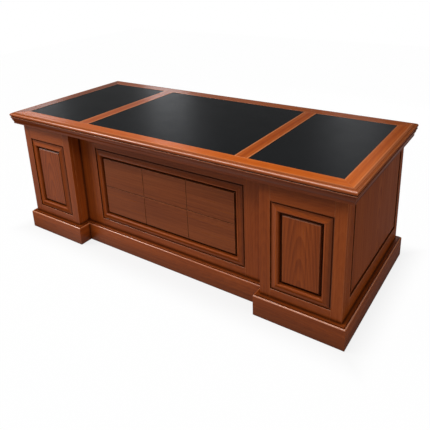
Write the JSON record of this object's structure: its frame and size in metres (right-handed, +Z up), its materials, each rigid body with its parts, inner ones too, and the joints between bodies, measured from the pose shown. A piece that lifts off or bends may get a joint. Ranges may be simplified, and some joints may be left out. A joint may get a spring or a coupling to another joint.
{
  "type": "two-pedestal executive desk",
  "caption": "Large wooden executive desk with leather-inlaid top, panelled visitor side, drawer pedestal, cupboard pedestal and kneehole.",
  "frame": {"origin": "on the floor under the middle of the top", "axes": "+X along the length, to the right as seen by a visitor; +Y towards the sitter, where the drawers and the door open; +Z up"},
  "size_m": [2.1, 0.9, 0.76],
  "materials": {
    "lacquered_wood": "satin-gloss lacquered red-brown veneer and solid mouldings",
    "border_wood": "gloss lacquered orange-brown wood",
    "black_leather": "fine-grained black leather, soft sheen",
    "carcass_board": "brown-faced board, unpolished",
    "drawer_ply": "pale birch plywood, clear matt",
    "zinc_steel": "zinc-plated sheet steel",
    "brass_fittings": "aged satin brass",
    "black_plastic": "moulded black plastic"
  },
  "bodies": {
    "desk": {"centre_plinth": "lacquered_wood", "corner_blocks": "drawer_ply", "crown_backing_rail": "carcass_board", "crown_moulding": "lacquered_wood", "cupboard_shelf": "drawer_ply", "hinge_pins": "brass_fittings", "hinge_wall_leaves": "brass_fittings", "knee_apron": "lacquered_wood", "leather_inlay_centre": "black_leather", "leather_inlay_left": "black_leather", "leather_inlay_right": "black_leather", "left_end_frame": "lacquered_wood", "left_end_panel": "lacquered_wood", "left_front_frame": "lacquered_wood", "left_front_moulding": "lacquered_wood", "left_front_raised_panel": "lacquered_wood", "left_inner_side_board": "lacquered_wood", "left_plinth": "lacquered_wood", "levelling_glides": "black_plastic", "modesty_frame": "lacquered_wood", "modesty_moulding": "lacquered_wood", "modesty_panel": "lacquered_wood", "pedestal_bottom_boards": "carcass_board", "pedestal_top_rails": "carcass_board", "right_end_frame": "lacquered_wood", "right_end_panel": "lacquered_wood", "right_front_frame": "lacquered_wood", "right_front_moulding": "lacquered_wood", "right_front_raised_panel": "lacquered_wood", "right_inner_side_board": "lacquered_wood", "right_plinth": "lacquered_wood", "shelf_pins": "brass_fittings", "slide_cabinet_members": "zinc_steel", "top_border_ends": "border_wood", "top_border_long": "border_wood", "top_core_board": "carcass_board", "top_dividers": "border_wood", "top_fixing_screws": "zinc_steel", "top_nosing": "lacquered_wood"},
    "upper_drawer": {"upper_drawer_front": "lacquered_wood", "upper_drawer_box": "drawer_ply", "upper_drawer_pull": "brass_fittings", "upper_drawer_slide_members": "zinc_steel", "drawer_lock_sleeve": "brass_fittings"},
    "upper_slide_middles": {"upper_drawer_middle_members": "zinc_steel"},
    "middle_drawer": {"middle_drawer_front": "lacquered_wood", "middle_drawer_box": "drawer_ply", "middle_drawer_pull": "brass_fittings", "middle_drawer_slide_members": "zinc_steel"},
    "middle_slide_middles": {"middle_drawer_middle_members": "zinc_steel"},
    "file_drawer": {"file_drawer_front": "lacquered_wood", "file_drawer_box": "drawer_ply", "file_drawer_pull": "brass_fittings", "file_drawer_slide_members": "zinc_steel"},
    "file_slide_middles": {"file_drawer_middle_members": "zinc_steel"},
    "drawer_lock": {"drawer_lock_barrel": "brass_fittings"},
    "cupboard_door": {"door_frame": "lacquered_wood", "door_panel": "lacquered_wood", "door_pull": "brass_fittings", "hinge_door_leaves": "brass_fittings"}
  },
  "joints": [
    {"name": "upper_drawer_slide", "type": "slide", "parent": "desk", "child": "upper_drawer", "axis": [0, 1, 0], "range_m": [0, 0.5]},
    {"name": "upper_middles_slide", "type": "slide", "parent": "desk", "child": "upper_slide_middles", "axis": [0, 1, 0], "range_m": [0, 0.25]},
    {"name": "middle_drawer_slide", "type": "slide", "parent": "desk", "child": "middle_drawer", "axis": [0, 1, 0], "range_m": [0, 0.5]},
    {"name": "middle_middles_slide", "type": "slide", "parent": "desk", "child": "middle_slide_middles", "axis": [0, 1, 0], "range_m": [0, 0.25]},
    {"name": "file_drawer_slide", "type": "slide", "parent": "desk", "child": "file_drawer", "axis": [0, 1, 0], "range_m": [0, 0.5]},
    {"name": "file_middles_slide", "type": "slide", "parent": "desk", "child": "file_slide_middles", "axis": [0, 1, 0], "range_m": [0, 0.25]},
    {"name": "drawer_lock_turn", "type": "hinge", "parent": "upper_drawer", "child": "drawer_lock", "pos_m": [0.803, 0.39, 0.666], "axis": [0, -1, 0], "range_deg": [0, 90]},
    {"name": "cupboard_door_hinge", "type": "hinge", "parent": "desk", "child": "cupboard_door", "pos_m": [-0.9774, 0.4053, 0.4005], "axis": [0, 0, 1], "range_deg": [0, 105]}
  ],
  "couplings": [
    {"joint": "upper_middles_slide", "follows": "upper_drawer_slide", "ratio": 0.5},
    {"joint": "middle_middles_slide", "follows": "middle_drawer_slide", "ratio": 0.5},
    {"joint": "file_middles_slide", "follows": "file_drawer_slide", "ratio": 0.5}
  ]
}
